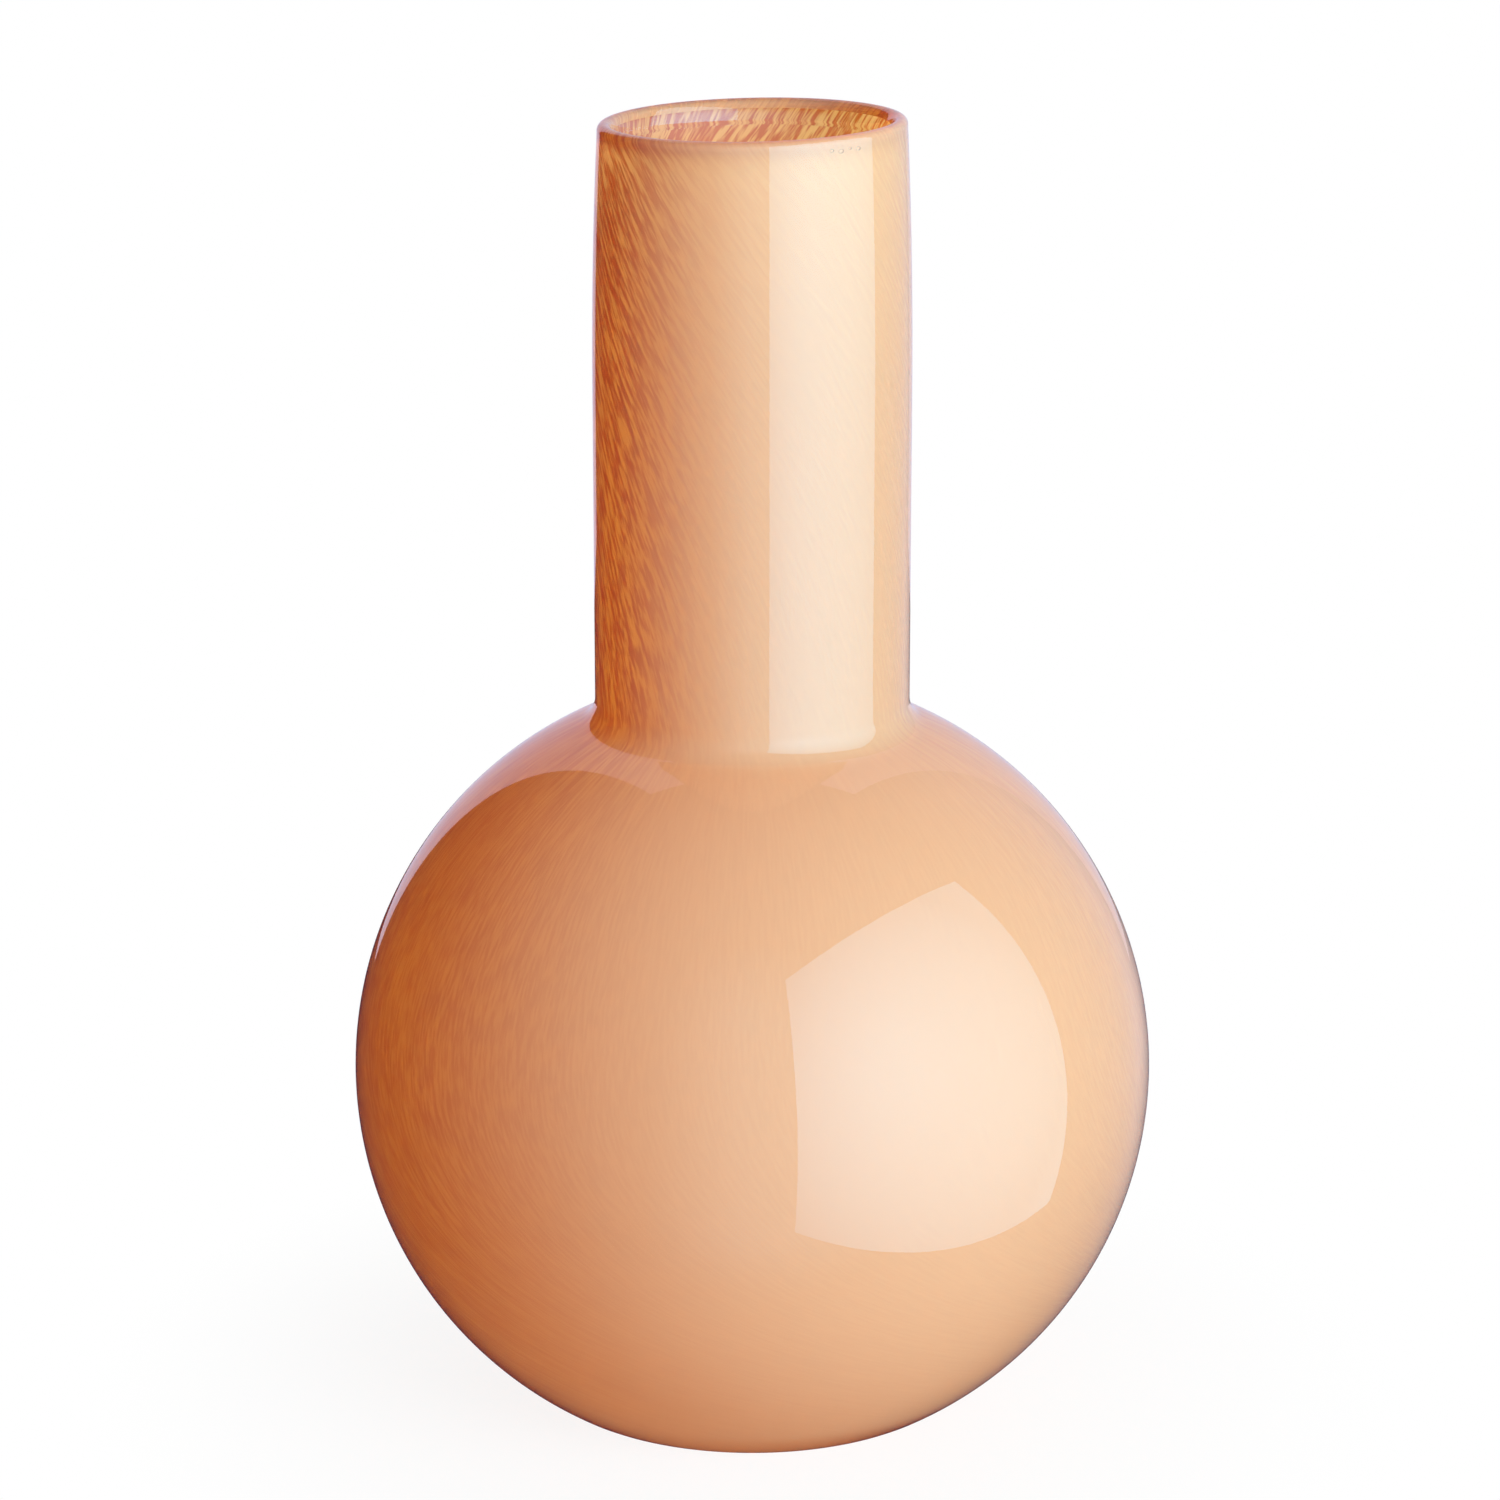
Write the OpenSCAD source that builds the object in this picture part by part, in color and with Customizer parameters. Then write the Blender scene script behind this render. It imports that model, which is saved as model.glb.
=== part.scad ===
// Cased glass vase: a blown globe that stands on a small flat, with a tall straight neck.
// Its wall is three layers of glass that lie face to face, as they were gathered:
// a clear lining, a thin layer of streaked colour, and a clear casing that rounds the lip.
// All sizes are in millimetres, with the foot on z = 0 and the vase's axis along z.

/* [Globe] */
// Outer diameter of the globe
globe_d = 180; // [150:1:220]
// How far the centre of the globe's side curve stands off the axis: 0 makes it a true ball
belly = 1.4; // [0:0.1:4]
// Diameter of the flat that the vase stands on
foot_d = 86; // [60:1:100]
// Radius that eases the edge between the flat and the globe
foot_round_r = 12; // [4:0.5:16]

/* [Neck and lip] */
// Height of the whole vase
vase_h = 292; // [260:0.5:360]
// Outer diameter of the neck where it is widest, just above the shoulder
neck_d = 70; // [60:0.5:90]
// Radius of the hollow curve where the shoulder turns up into the neck
shoulder_r = 6.5; // [3:0.5:12]
// How far each side of the neck has drawn in by the lip
lip_draw = 1.4; // [0:0.1:3]
// Share of the neck's length, counted down from the lip, over which it draws in
lip_draw_share = 0.45; // [0.2:0.05:1]

/* [Glass layers] */
// Thickness of the clear casing on the walls
casing_t = 2; // [1.2:0.1:3]
// Thickness of the streaked colour layer
colour_t = 1; // [0.5:0.1:2]
// Thickness of the clear lining on the globe and at the lip
lining_t = 1.4; // [0.8:0.1:3]

/* [Base] */
// Thickness of the clear glass between the flat and the colour
base_t = 5; // [4:0.5:10]
// Thickness of the clear lining on the floor of the vase
floor_t = 3; // [1.5:0.5:8]
// Radius that rounds the colour layer from the wall into the floor
floor_round_r = 24; // [12:1:30]
// Diameter of the ground and polished hollow under the base
pontil_d = 40; // [20:1:50]
// Depth of that hollow at its middle
pontil_depth = 1.2; // [0.6:0.1:2]

/* [Hidden] */
$fn = 192;

// Straight steps that follow the curve of the neck as it draws in
draw_steps = 8;
// How far a cutting shape reaches, in radii of what it cuts
reach = 2;
// How far a rounding runs into the two faces that it eases, so that all three cross cleanly
lap = 0.005;
// How far a cutting form runs past the face that it opens
overrun = 1;

globe_r = globe_d / 2;
neck_r = neck_d / 2;
foot_r = foot_d / 2;
// Height of the globe's centre, low enough for the globe to run down into the flat
globe_z = foot_round_r + sqrt(pow(globe_r - belly - foot_round_r, 2) - pow(foot_r - belly, 2));

wall_t = casing_t + colour_t + lining_t;
// The lip is a full round over the whole wall, and the layers inside end where it begins
lip_r = wall_t / 2;
seat_z = vase_h - lip_r;
bore_r = neck_r - lip_draw - wall_t;

// Depth of each layer's outer face below the outer surface
colour_inset = casing_t;
lining_inset = casing_t + colour_t;
// Height of each layer's underside in the base
lining_z = base_t + colour_t;
floor_z = lining_z + floor_t;
// Radius of the sphere that a shallow round hollow is ground with
pontil_cap_r = (pow(pontil_d / 2, 2) + pow(pontil_depth, 2)) / (2 * pontil_depth);

// Points up the side of a neck that stands on the shoulder curve and draws in towards the lip
function neck_side(tube_r, curve_z, draw) =
    let (draw_h = lip_draw_share * (seat_z - curve_z))
    draw > 0
        ? [for (i = [0 : draw_steps])
            [tube_r - draw * pow(i / draw_steps, 2), seat_z - draw_h * (1 - i / draw_steps)]]
        : [[tube_r, seat_z]];

// Half of a blown form, from the axis outwards: floor, globe, shoulder curve and neck.
// The side curve's centre stands belly off the axis, so its revolved shape is a little wide.
module half_form(side_r, tube_r, curve_r, base_z, edge_r, draw, past) {
    centre = [belly, globe_z];
    edge_x = belly + sqrt(pow(side_r - edge_r, 2) - pow(globe_z - base_z - edge_r, 2));
    edge_at = [edge_x, base_z + edge_r];
    curve_x = tube_r + curve_r;
    curve_z = globe_z + sqrt(pow(side_r + curve_r, 2) - pow(curve_x - belly, 2));
    curve_at = [curve_x, curve_z];
    low = centre + reach * (edge_at - centre);
    wide = reach * side_r;
    difference() {
        union() {
            // Globe above its floor
            intersection() {
                translate(centre) circle(r = side_r);
                translate([0, base_z]) square(wide);
            }
            // Neck, down to the middle of the globe
            polygon([
                [0, globe_z],
                [tube_r, globe_z],
                each neck_side(tube_r, curve_z, draw),
                [0, seat_z]
            ]);
            // Web in the corner between them, hollowed by the shoulder curve
            difference() {
                polygon([centre, curve_at, [belly, curve_z]]);
                translate(curve_at) circle(r = curve_r + lap);
            }
            // Run past the seat of the lip, where the form is used as a cutter
            if (past > 0) {
                translate([0, seat_z]) square([tube_r - draw, past]);
            }
        }
        // Corner between the globe and its floor, outside the rounding
        difference() {
            polygon([edge_at, low, [edge_x, low[1]]]);
            translate(edge_at) circle(r = edge_r + lap);
        }
    }
}

// A form that lies a given depth below the outer surface all the way up the wall
module layer_form(inset, base_z, edge_r, past = 0) {
    half_form(globe_r - belly - inset, neck_r - inset, shoulder_r + inset, base_z, edge_r, lip_draw, past);
}

// The room inside the vase: its neck is a true cylinder, so the lining is thickest at the shoulder
module inside_form() {
    half_form(
        globe_r - belly - wall_t, bore_r, shoulder_r + wall_t, floor_z,
        floor_round_r - colour_t - lining_t, 0, overrun
    );
}

// Full round of clear glass over the edges of all three layers
module lip_round() {
    intersection() {
        translate([bore_r + lip_r, seat_z]) circle(r = lip_r);
        translate([bore_r, seat_z]) square([wall_t, lip_r]);
    }
}

// Clear outer gather: wall, thick base with its polished hollow, and the rounded lip
module clear_casing() {
    color([0.93, 0.91, 0.9, 0.45])
    rotate_extrude() {
        difference() {
            layer_form(0, 0, foot_round_r);
            layer_form(colour_inset, base_t, floor_round_r, overrun);
            translate([0, pontil_depth - pontil_cap_r]) circle(r = pontil_cap_r);
        }
        lip_round();
    }
}

// Thin layer of apricot glass, drawn out in fine streaks
module colour_layer() {
    color([0.9, 0.68, 0.5])
    rotate_extrude()
    difference() {
        layer_form(colour_inset, base_t, floor_round_r);
        layer_form(lining_inset, lining_z, floor_round_r - colour_t, overrun);
    }
}

// Clear first gather, which holds the bore of the neck and the floor inside
module clear_lining() {
    color([0.96, 0.9, 0.84, 0.6])
    rotate_extrude()
    difference() {
        layer_form(lining_inset, lining_z, floor_round_r - colour_t);
        inside_form();
    }
}

clear_casing();
colour_layer();
clear_lining();
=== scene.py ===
# %% [markdown]
# The object is a mouth-blown vase of cased glass. A gather of clear glass carries a thin skin of apricot
# colour, and a second clear gather covers that. The measured construction comes from the frame, so it is
# loaded first, and its box is kept: whatever is modelled here has to stay inside it.

# %% Load the frame
import math

import bmesh
import bpy
from mathutils import Matrix, Vector


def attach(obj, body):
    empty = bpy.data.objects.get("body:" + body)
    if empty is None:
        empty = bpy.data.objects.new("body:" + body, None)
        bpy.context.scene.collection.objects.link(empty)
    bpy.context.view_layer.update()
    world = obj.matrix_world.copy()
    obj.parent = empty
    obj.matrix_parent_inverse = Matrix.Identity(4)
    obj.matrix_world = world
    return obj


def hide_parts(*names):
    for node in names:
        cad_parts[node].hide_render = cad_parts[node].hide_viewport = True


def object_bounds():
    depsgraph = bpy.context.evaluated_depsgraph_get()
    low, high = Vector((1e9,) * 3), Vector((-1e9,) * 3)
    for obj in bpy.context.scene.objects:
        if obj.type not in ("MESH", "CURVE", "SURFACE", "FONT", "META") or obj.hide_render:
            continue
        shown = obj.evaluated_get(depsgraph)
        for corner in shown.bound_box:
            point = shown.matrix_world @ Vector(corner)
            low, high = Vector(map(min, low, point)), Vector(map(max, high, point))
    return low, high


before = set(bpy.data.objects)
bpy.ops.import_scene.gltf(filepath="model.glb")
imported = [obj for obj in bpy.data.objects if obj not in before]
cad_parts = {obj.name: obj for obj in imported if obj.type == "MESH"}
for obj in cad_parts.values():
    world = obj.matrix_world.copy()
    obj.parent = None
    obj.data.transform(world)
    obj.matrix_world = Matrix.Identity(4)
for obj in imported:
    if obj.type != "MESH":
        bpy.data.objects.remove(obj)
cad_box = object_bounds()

MM = 0.001
scene = bpy.context.scene
print("nodes in the frame:", sorted(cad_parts))
print("frame box in mm:", [[round(v / MM, 1) for v in corner] for corner in cad_box])

# %% [markdown]
# Every layer of the wall follows one outline at its own depth, so the outline is drawn by one function.
# It could be a long list of points, but a glass blower's form is a few arcs: a flat floor, an eased edge,
# a globe, a hollow shoulder and a neck that draws in. So a single vertex is used as a pen. Extruding it
# makes a straight, and spinning it about a centre makes an arc.

# %% The sizes of the form, in millimetres
globe_belly = 1.4
foot_flat_r = 43.0
foot_round_r = 12.0
shoulder_r = 6.5
neck_r = 35.0
lip_draw = 1.4
lip_draw_share = 0.45
casing_t, colour_t, lining_t = 2.0, 1.0, 1.4
base_t, floor_t = 5.0, 3.0
floor_round_r = 24.0
pontil_r, pontil_depth = 20.0, 1.2
lip_skin_t, lip_zone_h = 0.5, 7.0
lip_ease_r, lip_ease_deg = 9.0, 33.0

globe_r = cad_box[1][0] / MM
vase_h = cad_box[1][2] / MM
side_r = globe_r - globe_belly
globe_z = foot_round_r + math.sqrt((side_r - foot_round_r) ** 2 - (foot_flat_r - globe_belly) ** 2)
wall_t = casing_t + colour_t + lining_t
lip_r = wall_t / 2
seat_z = vase_h - lip_r
bore_r = neck_r - lip_draw - wall_t
print(f"globe {2 * globe_r:.0f} mm across, centre {globe_z:.1f} mm up, vase {vase_h:.0f} mm high")

# %% The pen: one vertex that draws straights and arcs in the plane y = 0
segment_mm = 2.0
quarter_deg, half_deg = 90.0, 180.0
quarter_arc_steps, least_arc_steps = 14, 3
print(f"a quarter arc has {quarter_arc_steps} steps, or more where they would be over {segment_mm:.0f} mm")


def pen_down(bm, r, z):
    return bmesh.ops.create_vert(bm, co=(r * MM, 0, z * MM))["vert"][0]


def line_to(bm, tip, r, z):
    tip = bmesh.ops.extrude_vert_indiv(bm, verts=[tip])["verts"][0]
    tip.co = (r * MM, 0, z * MM)
    return tip


def arc_by(bm, tip, centre, degrees):
    """Turns the pen about a centre, anticlockwise where degrees is positive."""
    middle = Vector((centre[0] * MM, 0, centre[1] * MM))
    length = (tip.co - middle).length * math.radians(abs(degrees))
    by_length = round(length / (segment_mm * MM))
    by_angle = round(quarter_arc_steps * abs(degrees) / quarter_deg)
    steps = max(least_arc_steps, by_length, by_angle)
    spun = bmesh.ops.spin(
        bm, geom=[tip], cent=middle, axis=(0, -1, 0), angle=math.radians(degrees), steps=steps
    )
    return [v for v in spun["geom_last"] if isinstance(v, bmesh.types.BMVert)][0]


# %% Half an outline, from the floor up to the seat of the lip
straight_row_mm = 8.0
draw_steps, flare_steps = 12, 6


def draw_form(bm, tip, inset, floor_z, edge_r, tube_r=None, draw=lip_draw, flare=0.0, top_z=seat_z):
    """Draws on from a point on the floor: edge, globe, shoulder and neck, at a depth below the outer skin."""
    ball_r = side_r - inset
    tube_r = neck_r - inset if tube_r is None else tube_r
    curve_r = shoulder_r + inset
    edge_x = globe_belly + math.sqrt((ball_r - edge_r) ** 2 - (globe_z - floor_z - edge_r) ** 2)
    edge_z = floor_z + edge_r
    curve_x = tube_r + curve_r
    curve_z = globe_z + math.sqrt((ball_r + curve_r) ** 2 - (curve_x - globe_belly) ** 2)
    low = math.degrees(math.atan2(edge_z - globe_z, edge_x - globe_belly))
    high = math.degrees(math.atan2(curve_z - globe_z, curve_x - globe_belly))
    tip = line_to(bm, tip, edge_x, floor_z)
    tip = arc_by(bm, tip, (edge_x, edge_z), low + quarter_deg)
    tip = arc_by(bm, tip, (globe_belly, globe_z), high - low)
    tip = arc_by(bm, tip, (curve_x, curve_z), -high)
    draw_h = lip_draw_share * (seat_z - curve_z)
    straight_top = seat_z - draw_h
    flare_z = seat_z - lip_zone_h
    rows = round((straight_top - curve_z) / straight_row_mm)
    heights = [curve_z + (straight_top - curve_z) * row / rows for row in range(1, rows + 1)]
    drawn_h = flare_z - straight_top
    heights += [straight_top + drawn_h * step / draw_steps for step in range(1, draw_steps + 1)]
    heights += [flare_z + lip_zone_h * step / flare_steps for step in range(1, flare_steps + 1)]
    for z in [z for z in heights if z < top_z] + [top_z]:
        drawn = max(0.0, (z - straight_top) / draw_h) ** 2
        flared = max(0.0, (z - flare_z) / lip_zone_h) ** 2
        tip = line_to(bm, tip, tube_r - draw * drawn + flare * flared, z)
    return tip


# %% [markdown]
# Turning an outline about the axis gives a skin. A layer is two skins, an outer and an inner one, with
# their upper edges bridged, so each layer is a closed body as it is in the construction. The faces that
# lie against the next layer are kept apart by their material number. Where two gathers of hot glass have
# fused there is no surface left for light to bend at, and those faces get a finish of their own below.

# %% Turn the skins and close them
quarter_steps = 56
merge_mm = 0.002
ring_slack_mm, ring_from_share = 0.2, 0.9
SKIN, SEAM = 0, 1
print(f"each skin has {4 * quarter_steps} sides")


def turn(bm, face_number):
    """Spins all loose edges a quarter turn about the vase's axis and numbers the new faces."""
    old = set(bm.faces)
    wire = [e for e in bm.edges if not e.link_faces]
    points = list({v for e in wire for v in e.verts})
    bmesh.ops.spin(
        bm, geom=points + wire, cent=(0, 0, 0), axis=(0, 0, 1), angle=math.tau / 4, steps=quarter_steps
    )
    for face in set(bm.faces) - old:
        face.material_index = face_number


def fill_round(bm):
    """Mirrors the quarter twice, which is many times quicker than a full spin and just as round."""
    for axis in "XY":
        everything = list(bm.verts) + list(bm.edges) + list(bm.faces)
        bmesh.ops.mirror(
            bm, geom=everything, matrix=Matrix.Identity(4), merge_dist=merge_mm * MM, axis=axis
        )


def top_loop(bm, r):
    """The ring of open edges at the seat of the lip whose radius is r."""
    ring = []
    for edge in bm.edges:
        middle = (edge.verts[0].co + edge.verts[1].co) / 2
        if edge.is_boundary and middle.z > ring_from_share * vase_h * MM:
            if abs(edge.verts[0].co.xy.length - r * MM) < ring_slack_mm * MM:
                ring.append(edge)
    return ring


def close_layer(bm, bridge_top):
    """Bridges the two skins at the top where they don't meet, closes the poles and turns faces outwards."""
    fill_round(bm)
    if bridge_top:
        rings = top_loop(bm, bore_r) + top_loop(bm, bore_r + lining_t)
        made = bmesh.ops.bridge_loops(bm, edges=rings)
        for face in made["faces"]:
            face.material_index = SEAM
    bmesh.ops.remove_doubles(bm, verts=list(bm.verts), dist=merge_mm * MM)
    bmesh.ops.recalc_face_normals(bm, faces=list(bm.faces))


# %% [markdown]
# The lip was cut and melted round by hand, so it isn't quite level: it falls by about a millimetre and a
# half towards one side. Only the top of the neck is moved, more the higher it is, and all the layers are
# moved by the same rule, so that they stay one inside the other.

# %% Settle the lip and make the finished objects
lip_fall = 1.5
fall_from_z = 225.0
print(f"the lip falls by {lip_fall} mm towards the left, from {fall_from_z:.0f} mm up")


def settle_lip(bm):
    for v in bm.verts:
        share = max(0.0, (v.co.z / MM - fall_from_z) / (vase_h - fall_from_z)) ** 2
        lean = (neck_r - v.co.x / MM) / (2 * neck_r)
        v.co.z -= lip_fall * share * lean * MM


def finish_piece(bm, name, node):
    settle_lip(bm)
    mesh = bpy.data.meshes.new(name)
    bm.to_mesh(mesh)
    bm.free()
    mesh.shade_smooth()
    piece = bpy.data.objects.new(name, mesh)
    scene.collection.objects.link(piece)
    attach(piece, "root")
    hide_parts(node)
    mesh.calc_loop_triangles()
    open_edges = sum(len(p.vertices) for p in mesh.polygons) - 2 * len(mesh.edges)
    print(name, len(mesh.loop_triangles), "triangles, edges left open:", abs(open_edges))
    return piece


# %% [markdown]
# The clear casing is the last gather. It is the skin that the eye meets first: foot, globe, shoulder, neck
# and the full round of the lip. Underneath, where the iron was broken off, a shallow hollow was ground and
# polished, so the foot rests on a flat ring. The pen therefore starts on the axis with that hollow.

# %% Sizes that the layers share
lap = 0.03
colour_inset = casing_t
lining_inset = casing_t + colour_t
pontil_cap_r = (pontil_r**2 + pontil_depth**2) / (2 * pontil_depth)
pontil_deg = math.degrees(math.asin(pontil_r / pontil_cap_r))

ease = math.radians(lip_ease_deg)
crown_r = (wall_t - lip_ease_r * (1 - math.cos(ease))) / (1 + math.cos(ease))
crown_centre = (neck_r - lip_draw - crown_r, vase_h - crown_r)
ease_reach = lip_ease_r - crown_r
ease_centre = (crown_centre[0] + ease_reach * math.cos(ease), crown_centre[1] - ease_reach * math.sin(ease))
bulb_r = (wall_t - lip_skin_t - lining_t) / 2
bulb_centre = (bore_r + lining_t + bulb_r, crown_centre[1])
print(f"crown of the lip {crown_r:.2f} mm, eased into the bore from {ease_centre[1]:.1f} mm up")

# %% [markdown]
# At the lip the glass was melted round, and the clear glass drew thin over the colour. So the colour swells
# until it fills the lip, and only a thin clear skin is left around it. That is why the real lip looks
# coloured all through, with one fine bright line along its edge. Melting also drew the lip narrow at its
# crown and eased it into the mouth, and that eased slope is what mirrors the softbox inside the mouth.
# A few seed bubbles, pressed flat like poppy seeds, lie in the clear skin below the crown. A bubble is a
# hollow in the glass, so it is a small ball whose faces look inwards, and it belongs to the casing's mesh.

# %% Seed bubbles in the lip
bubble_depth, bubble_half_t, bubble_tall_share = 0.33, 0.22, 0.7
bubbles = [(60, 289.2, 0.55), (56, 288.9, 0.7), (52, 289.3, 0.45), (48, 289.0, 0.65), (205, 287.8, 0.4)]
print(len(bubbles), "seed bubbles, the widest", 2 * max(r for degrees, z, r in bubbles), "mm across")


def add_bubbles(bm):
    """Each bubble has an angle from the right in degrees, clockwise from above, a height and a radius."""
    for degrees, z, r in bubbles:
        turned = Matrix.Rotation(math.radians(-degrees), 4, "Z")
        place = turned @ Matrix.Translation(((neck_r - lip_draw - bubble_depth) * MM, 0, z * MM))
        place = place @ Matrix.Diagonal((bubble_half_t, r, bubble_tall_share * r, 1))
        ball = bmesh.ops.create_icosphere(bm, subdivisions=2, radius=MM, matrix=place)
        faces = {face for v in ball["verts"] for face in v.link_faces}
        bmesh.ops.reverse_faces(bm, faces=list(faces))


# %% Clear casing
def draw_bulb(bm, tip):
    """Draws on from the seat of the lip, round the swollen edge of the colour and back to the seat."""
    tip = line_to(bm, tip, tip.co.x / MM, bulb_centre[1])
    tip = arc_by(bm, tip, bulb_centre, half_deg)
    return line_to(bm, tip, tip.co.x / MM, seat_z)


def make_casing():
    bm = bmesh.new()
    tip = pen_down(bm, 0, pontil_depth)
    tip = arc_by(bm, tip, (0, pontil_depth - pontil_cap_r), -pontil_deg)
    tip = draw_form(bm, tip, 0, 0, foot_round_r)
    tip = line_to(bm, tip, neck_r - lip_draw, crown_centre[1])
    tip = arc_by(bm, tip, crown_centre, half_deg - lip_ease_deg)
    arc_by(bm, tip, ease_centre, lip_ease_deg)
    turn(bm, SKIN)
    tip = pen_down(bm, 0, base_t)
    tip = draw_form(bm, tip, colour_inset, base_t, floor_round_r, flare=colour_inset - lip_skin_t)
    draw_bulb(bm, tip)
    turn(bm, SEAM)
    close_layer(bm, bridge_top=True)
    add_bubbles(bm)
    return finish_piece(bm, "casing_glass", "clear_casing")


casing = make_casing()

# %% [markdown]
# The colour is a skin of powdered glass that was picked up on the first gather. It is drawn a few
# hundredths of a millimetre proud of its own solid, so that its face never shares a place with the hidden
# face of the casing: two faces in one place flicker between each other when rays meet them.

# %% Colour layer
def make_colour():
    bm = bmesh.new()
    outer_z, inner_z = base_t - lap, base_t + colour_t + lap
    outer, inner = colour_inset - lap, lining_inset + lap
    tip = pen_down(bm, 0, outer_z)
    tip = draw_form(bm, tip, outer, outer_z, floor_round_r, flare=colour_inset - lip_skin_t)
    draw_bulb(bm, tip)
    turn(bm, SKIN)
    tip = pen_down(bm, 0, inner_z)
    draw_form(bm, tip, inner, inner_z, floor_round_r - colour_t)
    turn(bm, SEAM)
    close_layer(bm, bridge_top=False)
    return finish_piece(bm, "colour_glass", "colour_layer")


colour = make_colour()

# %% [markdown]
# The clear lining is the first gather, and the inside of the vase is its bare face. The bore of the neck
# is a true cylinder and the floor is thicker than the wall, because the glass settles there.

# %% Clear lining
def make_lining():
    bm = bmesh.new()
    outer_z = base_t + colour_t
    floor_z = outer_z + floor_t
    inner_round_r = floor_round_r - colour_t - lining_t
    tip = pen_down(bm, 0, floor_z)
    draw_form(bm, tip, wall_t, floor_z, inner_round_r, bore_r, 0, top_z=ease_centre[1])
    turn(bm, SKIN)
    tip = pen_down(bm, 0, outer_z)
    draw_form(bm, tip, lining_inset, outer_z, floor_round_r - colour_t)
    turn(bm, SEAM)
    close_layer(bm, bridge_top=True)
    return finish_piece(bm, "lining_glass", "clear_lining")


lining = make_lining()

# %% [markdown]
# Materials are node trees, and three small helpers keep them readable: one turns a colour as a screen
# shows it into the linear light that shaders add up, one starts an empty material, and one adds a node
# with its settings and links.

# %% Helpers for materials
def linear(code):
    """An sRGB hex colour as linear RGBA."""
    parts = [int(code[i : i + 2], 16) / 255 for i in (1, 3, 5)]
    return [c / 12.92 if c <= 0.04045 else ((c + 0.055) / 1.055) ** 2.4 for c in parts] + [1.0]


def new_material(name):
    material = bpy.data.materials.new(name)
    material.use_nodes = True
    material.node_tree.nodes.clear()
    return material, material.node_tree


def add(tree, kind, sockets=None, **settings):
    """Adds a node, sets its options, and sets each of its sockets to a value or links it to an output."""
    node = tree.nodes.new("ShaderNode" + kind)
    for name, value in settings.items():
        setattr(node, name, value)
    for key, value in (sockets or {}).items():
        if isinstance(value, bpy.types.NodeSocket):
            tree.links.new(value, node.inputs[key])
        else:
            node.inputs[key].default_value = value
    return node


# %% [markdown]
# Clear glass, fire polished: soda-lime glass bends light by about 1.52 and mirrors 4 percent of it head on
# and nearly all of it at a grazing angle. To the eye it is depth over the colour and crisp reflections.
# Blown glass is never quite even, so a very shallow bump, with waves some 40 mm long, lets a straight
# reflection wander a little. Light that only carries on from a lamp or from the dull colour underneath
# passes straight through, because bending it would cost many samples and change nothing that shows.

# %% Clear glass
glass_ior = 1.52


def clear_glass(name, wave_mm, wave_depth_mm):
    material, tree = new_material(name)
    place = add(tree, "TexCoord").outputs["Object"]
    wave = {"Vector": place, "Scale": 1 / (wave_mm * MM), "Detail": 1.0, "Roughness": 0.4}
    waves = add(tree, "TexNoise", wave)
    bump = add(tree, "Bump", {"Height": waves.outputs[0], "Strength": 1.0, "Distance": wave_depth_mm * MM})
    glass = add(
        tree, "BsdfPrincipled",
        {
            "Base Color": linear("#FFFFFF"), "Roughness": 0.0, "IOR": glass_ior,
            "Transmission Weight": 1.0, "Normal": bump.outputs["Normal"],
        },
    )
    path = add(tree, "LightPath")
    rays = {0: path.outputs["Is Shadow Ray"], 1: path.outputs["Is Diffuse Ray"]}
    straight = add(tree, "Math", rays, operation="MAXIMUM").outputs[0]
    through = add(tree, "BsdfTransparent", {"Color": linear("#FFFFFF")}).outputs[0]
    mix = add(tree, "MixShader", {0: straight, 1: glass.outputs[0], 2: through})
    add(tree, "OutputMaterial", {"Surface": mix.outputs[0]})
    return material


casing_clear = clear_glass("clear_glass_fire_polished", wave_mm=40, wave_depth_mm=0.05)
lining_clear = clear_glass("clear_glass_blown_inside", wave_mm=25, wave_depth_mm=0.08)
print("clear glass:", casing_clear.name, "and", lining_clear.name)

# %% [markdown]
# Where two hot gathers fused there is no surface left. Those faces close each layer's body, but they pass
# all light on as it is, so they get a transparent shader and nothing else.

# %% Fused seam
def fused_seam():
    material, tree = new_material("fused_glass_seam")
    through = add(tree, "BsdfTransparent", {"Color": linear("#FFFFFF")})
    add(tree, "OutputMaterial", {"Surface": through.outputs[0]})
    return material


seam = fused_seam()
print("between the gathers:", seam.name)

# %% [markdown]
# Apricot enamel glass: ground colour, rolled on as powder, melted in and drawn out as the bubble was
# blown and swung. It is a thin, nearly opaque skin. Light that falls on it comes back as pale peach, and
# light that comes through it is filtered to amber, so the side away from the lamp glows a deeper colour.
# That is a mix of a diffuse and a translucent shader. Seen from the mouth, the back of each face takes a
# duller, greyer tone of its own in place of the peach: painted shade that darkens the inside of the vase.
# The powder drew out into fine strokes. They lean the way the glass was turned: nearly upright high on the
# globe, sloping more and more towards the foot, and slanting again up the neck to the lip. A straight
# pattern could be painted and bent by hand, but here the pattern's own space is turned about the axis,
# more or less according to the height, so the strokes follow the twist all the way round without a seam.
# On one side of the vase the powder lies evenly, and its strokes hardly show.

# %% The twist of the drawn glass
foot_turn_rad, foot_turn_from_z, foot_turn_power = 2.4, 120.0, 3.0
neck_turn_rad, neck_turn_from_z, neck_turn_power = 2.2, 150.0, 1.5
foot_turn_deg, neck_turn_deg = math.degrees(foot_turn_rad), math.degrees(neck_turn_rad)
print(f"twist in degrees: {foot_turn_deg:.0f} down to the foot, {neck_turn_deg:.0f} up to the lip")


def outward_direction(tree, place):
    """The level direction from the axis to a place."""
    flat = add(tree, "VectorMath", {0: place, 1: (1, 1, 0)}, operation="MULTIPLY").outputs[0]
    return add(tree, "VectorMath", {0: flat}, operation="NORMALIZE").outputs[0]


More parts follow.
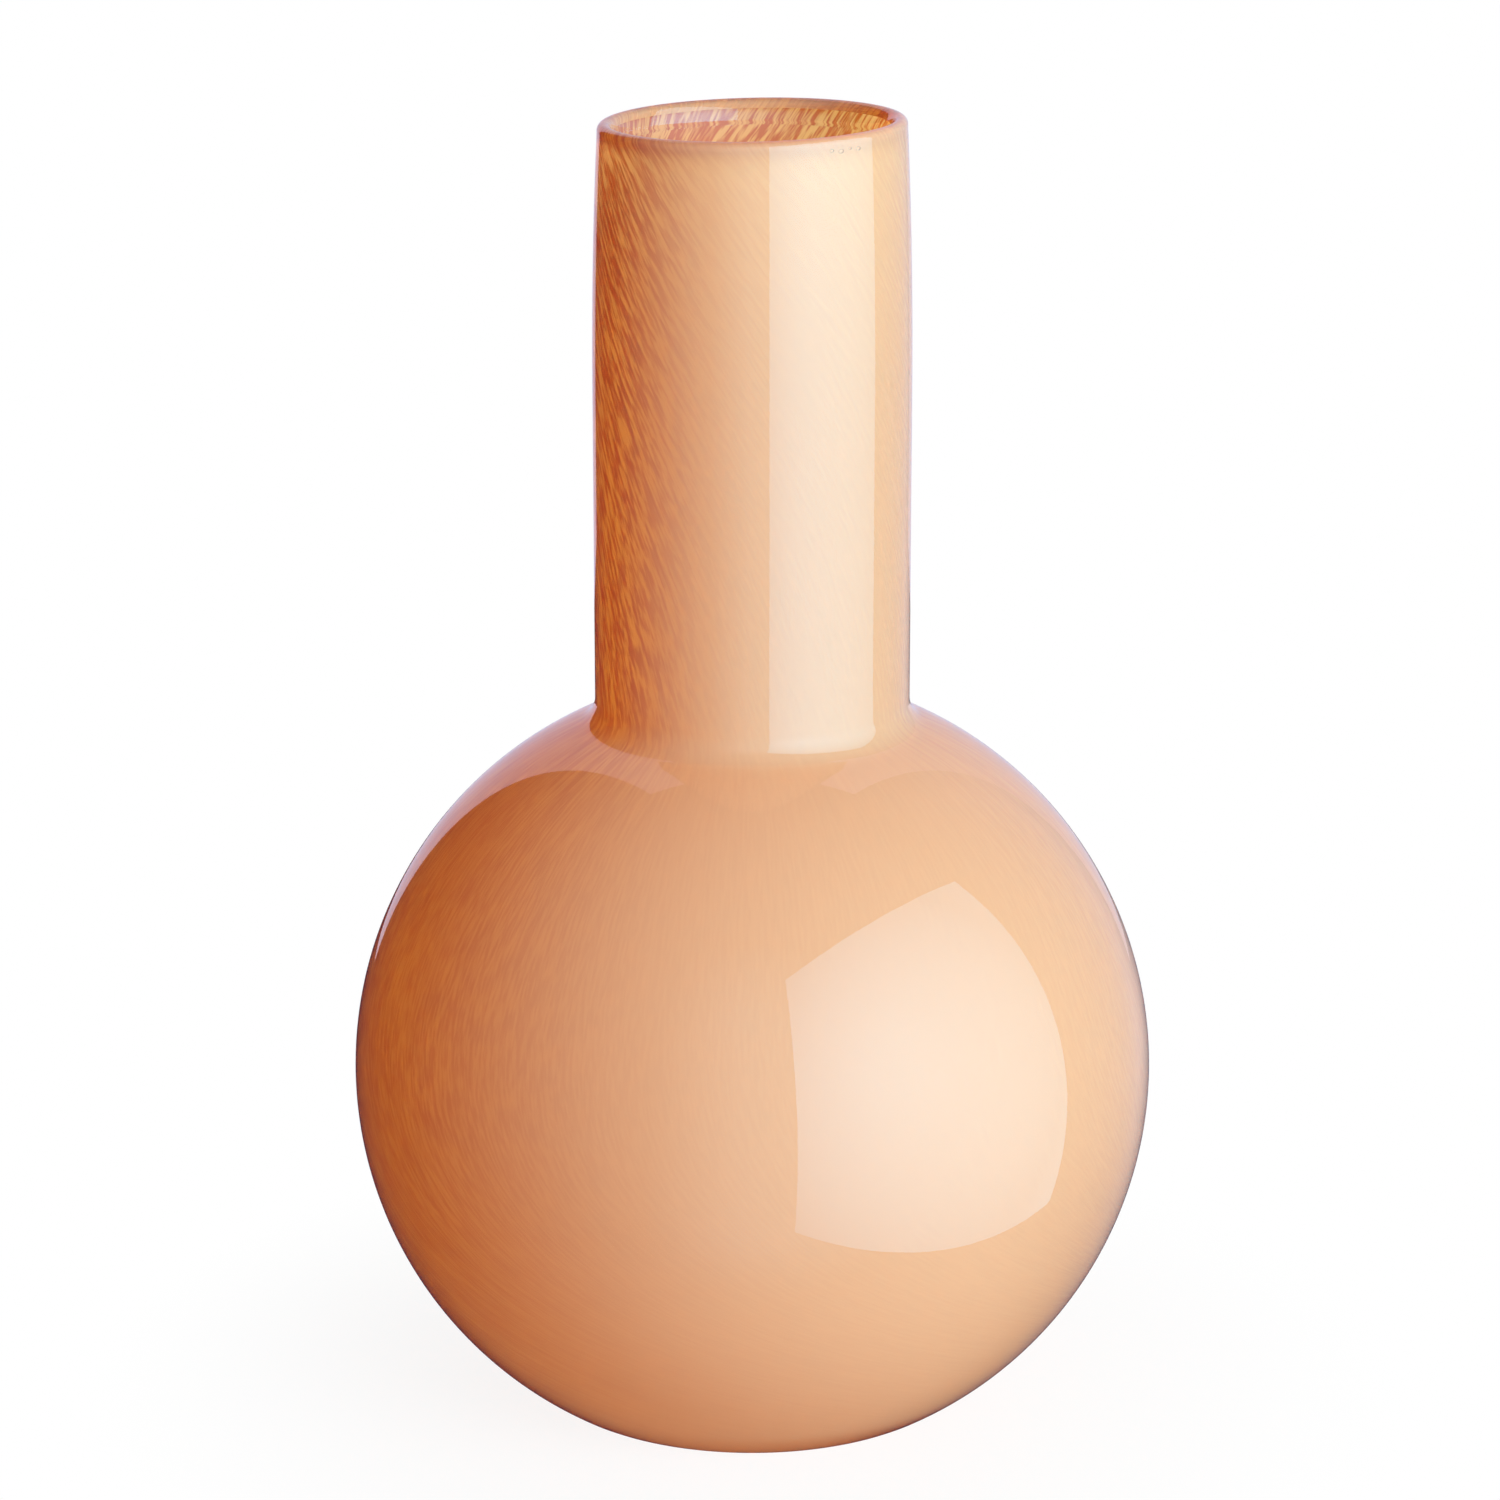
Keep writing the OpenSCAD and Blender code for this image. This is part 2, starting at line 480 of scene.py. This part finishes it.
def twisted_direction(tree, place, height):
    """The direction from the axis, turned by as much as the strokes have turned at that height in mm."""
    down = add(tree, "MapRange", {"Value": height, "From Min": foot_turn_from_z, "From Max": 0.0}).outputs[0]
    down = add(tree, "Math", {0: down, 1: foot_turn_power}, operation="POWER").outputs[0]
    down = add(tree, "Math", {0: down, 1: foot_turn_rad}, operation="MULTIPLY").outputs[0]
    up = add(tree, "MapRange", {"Value": height, "From Min": neck_turn_from_z, "From Max": vase_h}).outputs[0]
    up = add(tree, "Math", {0: up, 1: neck_turn_power}, operation="POWER").outputs[0]
    up = add(tree, "Math", {0: up, 1: neck_turn_rad}, operation="MULTIPLY").outputs[0]
    angle = add(tree, "Math", {0: up, 1: down}, operation="SUBTRACT").outputs[0]
    outward = outward_direction(tree, place)
    return add(tree, "VectorRotate", {"Vector": outward, "Angle": angle}, rotation_type="Z_AXIS").outputs[0]


# %% Strokes of drawn powder
def strokes(tree, around, height, girth_mm, width_mm, length_mm):
    """Noise whose grains are width_mm across and length_mm along the twist, on a wall of that radius."""
    wide = add(tree, "VectorMath", {0: around, "Scale": girth_mm / width_mm}, operation="SCALE").outputs[0]
    high = add(tree, "Math", {0: height, 1: 1 / length_mm}, operation="MULTIPLY").outputs[0]
    rise = add(tree, "CombineXYZ", {"Z": high}).outputs[0]
    space = add(tree, "VectorMath", {0: wide, 1: rise}, operation="ADD").outputs[0]
    noise = add(tree, "TexNoise", {"Vector": space, "Scale": 1.0, "Detail": 2.0, "Roughness": 0.6})
    return noise.outputs[0]


# %% The side where the powder lies evenly
even_azimuth = math.radians(16)
even_from, even_full, even_share = 0.4, 0.85, 0.8


def even_side(tree, place):
    """0 where the strokes show in full, even_share in the middle of the side where they hardly show."""
    middle = (math.sin(even_azimuth), -math.cos(even_azimuth), 0)
    directions = {0: outward_direction(tree, place), 1: middle}
    along = add(tree, "VectorMath", directions, operation="DOT_PRODUCT").outputs["Value"]
    span = {"Value": along, "From Min": even_from, "From Max": even_full, "To Max": even_share}
    return add(tree, "MapRange", span).outputs[0]


# %% [markdown]
# Four patterns make up the powder: short strokes on the neck and on the globe, broad clouds behind them,
# and a few long cords on the neck, where a thicker thread of colour was drawn out. Noise keeps near the
# middle of its range, so each pattern is spread out from a narrow span of it, and the narrower the span,
# the crisper the strokes. The finest of the real ones are thinner than a dot of the picture, so here they
# are about a millimetre wide. Towards the lip the powder is made a little thicker, which deepens the amber
# glow at the top of the neck: painted shade there.

# %% The strokes' sizes in millimetres, and how strongly they show
neck_girth, globe_girth = 33, 86
neck_stroke, globe_stroke = (1.05, 6), (0.75, 5)
cloud_stroke, cord_stroke = (11, 30), (0.7, 50)
neck_span = {"From Min": 0.42, "From Max": 0.58}
globe_span = {"From Min": 0.39, "From Max": 0.61, "To Min": 0.22, "To Max": 0.78}
cloud_span = {"From Min": 0.35, "From Max": 0.65}
cord_span = {"From Min": 0.57, "From Max": 0.64, "To Max": 0.45}
on_neck_span = {"From Min": 140.0, "From Max": 170.0}
# The thicker powder towards the lip is painted shade for the top of the neck.
lip_shade_span = {"From Min": 245.0, "From Max": vase_h, "To Max": 0.15}
cloud_share, even_amount = 0.12, 0.5
print("strokes across and along, in mm: neck", neck_stroke, "globe", globe_stroke, "cords", cord_stroke)


# %% How much powder lies at each place
def powder_amount(tree):
    """0 where the powder drew out thin and lets more light through, 1 where it lies thick."""
    place = add(tree, "TexCoord").outputs["Object"]
    height = add(tree, "SeparateXYZ", {0: place}).outputs["Z"]
    height = add(tree, "Math", {0: height, 1: 1 / MM}, operation="MULTIPLY").outputs[0]
    around = twisted_direction(tree, place, height)
    neck = strokes(tree, around, height, neck_girth, *neck_stroke)
    neck = add(tree, "MapRange", {"Value": neck, **neck_span}).outputs[0]
    globe = strokes(tree, around, height, globe_girth, *globe_stroke)
    globe = add(tree, "MapRange", {"Value": globe, **globe_span}).outputs[0]
    on_neck = add(tree, "MapRange", {"Value": height, **on_neck_span}).outputs[0]
    fine = add(tree, "Mix", {"Factor": on_neck, "A": globe, "B": neck}, data_type="FLOAT").outputs[0]
    cloud = strokes(tree, around, height, globe_girth, *cloud_stroke)
    cloud = add(tree, "MapRange", {"Value": cloud, **cloud_span}).outputs[0]
    amount = add(tree, "Mix", {"Factor": cloud_share, "A": fine, "B": cloud}, data_type="FLOAT").outputs[0]
    cords = strokes(tree, around, height, neck_girth, *cord_stroke)
    cords = add(tree, "MapRange", {"Value": cords, **cord_span}).outputs[0]
    cords = add(tree, "Math", {0: cords, 1: on_neck}, operation="MULTIPLY").outputs[0]
    amount = add(tree, "Math", {0: amount, 1: cords}, operation="ADD").outputs[0]
    even = {"Factor": even_side(tree, place), "A": amount, "B": even_amount}
    amount = add(tree, "Mix", even, data_type="FLOAT").outputs[0]
    # Painted shade: more powder towards the lip darkens the amber glow there.
    lip_shade = add(tree, "MapRange", {"Value": height, **lip_shade_span}).outputs[0]
    return add(tree, "Math", {0: amount, 1: lip_shade}, operation="ADD", use_clamp=True).outputs[0]


# %% Apricot enamel glass
light_through = 0.67
amber_tones, peach_tones = ("#FFCD76", "#D0691A"), ("#CBD7C1", "#F6F8CF")
# The inside tone is painted shade: it darkens the colour seen inside the mouth.
painted_inside_shade = "#A39CB4"


def apricot_enamel():
    material, tree = new_material("apricot_enamel_glass_drawn")
    amount = powder_amount(tree)
    ramps = []
    for thin, thick in (amber_tones, peach_tones):
        ramp = add(tree, "ValToRGB", {"Fac": amount})
        ramp.color_ramp.elements[0].color = linear(thin)
        ramp.color_ramp.elements[1].color = linear(thick)
        ramps.append(ramp.outputs["Color"])
    amber, peach = ramps
    # Faces seen from behind, from inside the vase, take the painted shade tone instead of the peach.
    within = add(tree, "NewGeometry").outputs["Backfacing"]
    sides = {"Fac": within, "Color1": peach, "Color2": linear(painted_inside_shade)}
    dull = add(tree, "BsdfDiffuse", {"Color": add(tree, "MixRGB", sides).outputs[0]})
    glow = add(tree, "BsdfTranslucent", {"Color": amber})
    mix = add(tree, "MixShader", {0: light_through, 1: dull.outputs[0], 2: glow.outputs[0]})
    add(tree, "OutputMaterial", {"Surface": mix.outputs[0]})
    return material


enamel = apricot_enamel()
print(enamel.name, "is made of", len(enamel.node_tree.nodes), "nodes")

# %% Dress the pieces
for piece, skin in ((casing, casing_clear), (colour, enamel), (lining, lining_clear)):
    piece.data.materials.append(skin)
    piece.data.materials.append(seam)
    print(piece.name, "wears", [m.name for m in piece.data.materials])

# %% [markdown]
# The camera stands where the photographer's did: a metre away and a little above, looking down by about
# 16 degrees through a long lens, so the globe hardly bulges towards the eye.

# %% Camera
camera_back, camera_up = 1.05, 0.44764
camera_pitch = 0.2763
focal_px, frame_px, sensor_mm = 4885, 1500, 36
axis_px = 752.3
near_clip = 0.01

camera = bpy.data.objects.new("camera", bpy.data.cameras.new("camera"))
scene.collection.objects.link(camera)
camera.location = (0, -camera_back, camera_up)
camera.rotation_euler = (math.pi / 2 - camera_pitch, 0, 0)
camera.data.sensor_width = sensor_mm
camera.data.lens = focal_px / frame_px * sensor_mm
camera.data.shift_x = (frame_px / 2 - axis_px) / frame_px
camera.data.clip_start = near_clip
scene.camera = camera
print(f"lens {camera.data.lens:.1f} mm")

# %% [markdown]
# One big softbox at the right and a little in front lights the vase, as in the photograph, and a sheet of
# light behind it shines through the wall, which makes the shaded side glow. An area lamp stands for each.
# A lamp is hidden from glass, so that its mirror image can be made, and matched, apart from its light.

# %% Lamps
lamp_away, lamp_azimuth = 1.5, math.radians(42)
lamp_half_w, lamp_foot, lamp_top = 0.6, 0.02, 1.15
lamp_level = 13.0
back_away, back_half_w, back_top = 1.6, 0.8, 1.5
back_level = 1.0


def facing(distance, azimuth, height):
    """A place at that distance and height that faces the axis: azimuth 0 is in front, 90 at the right."""
    spot = Vector((distance * math.sin(azimuth), -distance * math.cos(azimuth), height))
    return Matrix.Translation(spot) @ Matrix.Rotation(azimuth, 4, "Z") @ Matrix.Rotation(math.pi / 2, 4, "X")


def area_lamp(name, place, width, height, level):
    """A rectangle that sheds light like a surface of that radiance, and shows in nothing."""
    data = bpy.data.lights.new(name, "AREA")
    data.shape = "RECTANGLE"
    data.size, data.size_y = width, height
    data.energy = level * math.pi * width * height
    lamp = bpy.data.objects.new(name, data)
    scene.collection.objects.link(lamp)
    lamp.matrix_world = place
    lamp.visible_camera = False
    lamp.visible_glossy = False
    lamp.visible_transmission = False
    print(f"{name}: {data.energy:.1f} W")


lamp_place = facing(lamp_away, lamp_azimuth, (lamp_foot + lamp_top) / 2)
area_lamp("softbox", lamp_place, 2 * lamp_half_w, lamp_top - lamp_foot, lamp_level)
back_place = facing(back_away, math.pi, (lamp_foot + back_top) / 2)
area_lamp("light_behind", back_place, 2 * back_half_w, back_top - lamp_foot, back_level)

# %% [markdown]
# Whatever stands round the vase without being part of it is a stage piece. Some of it is only there to be
# mirrored, so it is hidden from the camera and from light that is shed on dull surfaces.

# %% Helpers for the stage
def stage_piece(bm, name, materials):
    mesh = bpy.data.meshes.new(name)
    bm.to_mesh(mesh)
    bm.free()
    for material in materials:
        mesh.materials.append(material)
    piece = bpy.data.objects.new(name, mesh)
    scene.collection.objects.link(piece)
    print(name, "has", len(mesh.polygons), "faces of", [material.name for material in materials])
    return piece


def sheet(place, width, height):
    """One rectangle, centred on a place."""
    bm = bmesh.new()
    bmesh.ops.create_grid(bm, x_segments=1, y_segments=1, size=0.5)
    bmesh.ops.scale(bm, vec=(width, height, 1), verts=list(bm.verts))
    bmesh.ops.transform(bm, matrix=place, verts=list(bm.verts))
    return bm


def seen_by_mirrors_only(piece):
    piece.visible_camera = False
    piece.visible_diffuse = False
    piece.visible_shadow = False
    piece.visible_transmission = False


# %% [markdown]
# The softbox's face is a card of white fabric that glows, and only mirrors see it. Clear glass mirrors just
# a few percent of it, so it is several times as bright as white. Its light is a cool daylight blue, which
# makes a neutral pale patch once it lies over the warm colour. The card is wider than the lamp and stands
# further round, because the vase mirrors the far edge of a softbox that hardly lights it. It reaches lower
# than the foot, because the real vase stood on a stand.

# %% The softbox's face
card_away, card_azimuth = 1.5, math.radians(55)
card_half_w = 0.93 * card_away
card_low, card_high = -0.75 * card_away, 1.24 * card_away
card_level, card_edge_share = 6.0, 0.45
card_tone = "#7CDAFF"
bulb_aside, bright_r, dim_r = -0.4, 0.2, 1.8
centre_z = globe_z * MM


def softbox_fabric(bulb_place):
    """White fabric with its bulb behind that point, so it is brighter there than at its edges."""
    material, tree = new_material("softbox_fabric_lit")
    place = add(tree, "TexCoord").outputs["Object"]
    away = add(tree, "VectorMath", {0: place, 1: bulb_place}, operation="DISTANCE").outputs["Value"]
    span = {"Value": away, "From Min": bright_r, "From Max": dim_r}
    span.update({"To Min": card_level, "To Max": card_edge_share * card_level})
    level = add(tree, "MapRange", span).outputs[0]
    glow = add(tree, "Emission", {"Color": linear(card_tone), "Strength": level})
    add(tree, "OutputMaterial", {"Surface": glow.outputs[0]})
    return material


card_place = facing(card_away, card_azimuth, centre_z + (card_low + card_high) / 2)
card_face = softbox_fabric(card_place @ Vector((bulb_aside, 0, 0)))
card = stage_piece(sheet(card_place, 2 * card_half_w, card_high - card_low), "softbox_face", [card_face])
seen_by_mirrors_only(card)

# %% [markdown]
# The floor is white paper. It is a dull white that keeps the soft shadow of the vase. For rays from the
# camera, and those that come through glass, it is lifted towards pure white, more the further it is from
# the foot. Mirrors don't see the floor at all. Light that falls on it and goes on to the vase meets a plain,
# greyer paper, so the brighter look of the floor puts no more light on the vase. The paper lies a tenth of a
# millimetre below the foot, so that the two never share a place.

# %% Paper floor
floor_side, floor_gap_mm = 16, 0.1
paper_seen, paper_shed = "#F4F4F4", "#7E7E7E"
lift_near, lift_from_r, lift_full_r = 0.88, 0.04, 0.16


def paper_floor():
    material, tree = new_material("paper_floor_white")
    path = add(tree, "LightPath")
    rays = {0: path.outputs["Is Camera Ray"], 1: path.outputs["Is Glossy Ray"]}
    seen = add(tree, "Math", rays, operation="MAXIMUM").outputs[0]
    rays = {0: seen, 1: path.outputs["Is Transmission Ray"]}
    seen = add(tree, "Math", rays, operation="MAXIMUM").outputs[0]
    tones = {"Fac": seen, "Color1": linear(paper_shed), "Color2": linear(paper_seen)}
    paper = add(tree, "BsdfDiffuse", {"Color": add(tree, "MixRGB", tones).outputs[0]})
    place = add(tree, "TexCoord").outputs["Object"]
    away = add(tree, "VectorMath", {0: place}, operation="LENGTH").outputs["Value"]
    span = {"Value": away, "From Min": lift_from_r, "From Max": lift_full_r, "To Min": lift_near}
    lift = add(tree, "MapRange", span, interpolation_type="SMOOTHSTEP").outputs[0]
    lift = add(tree, "Math", {0: lift, 1: seen}, operation="MULTIPLY").outputs[0]
    white = add(tree, "Emission", {"Color": linear("#FFFFFF"), "Strength": 1.0})
    mix = add(tree, "MixShader", {0: lift, 1: paper.outputs[0], 2: white.outputs[0]})
    add(tree, "OutputMaterial", {"Surface": mix.outputs[0]})
    return material


floor_place = Matrix.Translation((0, 0, -floor_gap_mm * MM))
floor = stage_piece(sheet(floor_place, floor_side, floor_side), "floor", [paper_floor()])
floor.visible_glossy = False

# %% [markdown]
# The world is the white backdrop: white where the camera, a mirror or clear glass looks at it. Hardly any
# light comes from it, so that the shaded side of the vase stays deep. In the glass it looks a little
# cooler than the light of the softbox on the colour, as daylight film shows a far white wall.

# %% World
ambient_level, mirrored_white = 0.01, "#D8DAF6"


def white_backdrop():
    world = bpy.data.worlds.new("white_backdrop")
    scene.world = world
    world.use_nodes = True
    tree = world.node_tree
    tree.nodes.clear()
    path = add(tree, "LightPath")
    rays = {0: path.outputs["Is Camera Ray"], 1: path.outputs["Is Transmission Ray"]}
    seen = add(tree, "Math", rays, operation="MAXIMUM").outputs[0]
    rays = {0: seen, 1: path.outputs["Is Glossy Ray"]}
    bright = add(tree, "Math", rays, operation="MAXIMUM").outputs[0]
    level = add(tree, "MapRange", {"Value": bright, "To Min": ambient_level, "To Max": 1.0}).outputs[0]
    tones = {"Color1": linear("#FFFFFF"), "Color2": linear(mirrored_white)}
    tone = add(tree, "MixRGB", {"Fac": path.outputs["Is Glossy Ray"], **tones}).outputs[0]
    sky = add(tree, "Background", {"Color": tone, "Strength": level})
    add(tree, "OutputWorld", {"Surface": sky.outputs[0]})


white_backdrop()
print("world:", scene.world.name)

# %% [markdown]
# A photographer surrounds glass with dark flats, so that its edges are drawn dark against the white. Here
# they are one shell with a window cut out of it behind the vase, and only mirrors see it. The flats are deep
# violet felt, which gives the glass its thin plum edge. Soft fields of paler colour on the same shell stand
# for what the glass mirrors faintly: the softbox's spill at the right and behind, the wall behind the
# camera, and the tan stand below.

# %% The shell of flats
flats_r, flats_around, flats_up = 4.0, 48, 32
window_walls = [(0.878, 0.441, 0.186), (-0.878, 0.441, 0.186), (0, 0.225, 1), (0, 1, -0.36)]


def make_flats():
    """A shell round the set, open only where it lies inside all four walls of the window."""
    bm = bmesh.new()
    bmesh.ops.create_uvsphere(bm, u_segments=flats_around, v_segments=flats_up, radius=flats_r)
    for wall in window_walls:
        geom = list(bm.verts) + list(bm.edges) + list(bm.faces)
        bmesh.ops.bisect_plane(bm, geom=geom, plane_co=(0, 0, 0), plane_no=wall)
    window = []
    for face in bm.faces:
        middle = face.calc_center_median()
        if all(middle.dot(Vector(wall)) > 0 for wall in window_walls):
            window.append(face)
    bmesh.ops.delete(bm, geom=window, context="FACES")
    bmesh.ops.translate(bm, vec=(0, 0, centre_z), verts=list(bm.verts))
    return bm


# %% Violet felt with paler fields
felt_tone = "#20143F"
spill_field = ("#C4CFEE", {"X": (0.4, 2.2), "Y": (0.6, 3.2), "Z": (-2.8, -1.0)})
front_wall_field = ("#89DAF4", {"X": (-1.9, -0.2), "Y": (-2.4, -3.4)})
stand_field = ("#A8957C", {"Z": (-2.2, -3.4)})


def violet_felt():
    """Each field starts at the first place along each of its axes and has its full tone from the second."""
    material, tree = new_material("violet_felt_flats")
    place = add(tree, "TexCoord").outputs["Object"]
    axes = add(tree, "SeparateXYZ", {0: place}).outputs
    tone = linear(felt_tone)
    for field_tone, spans in (spill_field, front_wall_field, stand_field):
        share = 1.0
        for axis, (start, full) in spans.items():
            span = {"Value": axes[axis], "From Min": start, "From Max": full}
            inside = add(tree, "MapRange", span).outputs[0]
            share = add(tree, "Math", {0: inside, 1: share}, operation="MULTIPLY").outputs[0]
        tones = {"Fac": share, "Color1": tone, "Color2": linear(field_tone)}
        tone = add(tree, "MixRGB", tones).outputs[0]
    glow = add(tree, "Emission", {"Color": tone, "Strength": 1.0})
    add(tree, "OutputMaterial", {"Surface": glow.outputs[0]})
    return material


flats = stage_piece(make_flats(), "dark_flats", [violet_felt()])
seen_by_mirrors_only(flats)

# %% [markdown]
# Colours are shown as they are written, so the plain view is chosen. A ray that crosses the vase meets the
# faces of three layers four times over, and light bounces many times inside the coloured globe before it
# comes out, so both kinds of step get more room than Blender gives them.

# %% Colour management and light bounces
layer_faces_room, globe_bounces_room = 32, 8
scene.view_settings.view_transform = "Standard"
scene.cycles.transparent_max_bounces = layer_faces_room
scene.cycles.diffuse_bounces = globe_bounces_room
print("view:", scene.view_settings.view_transform)
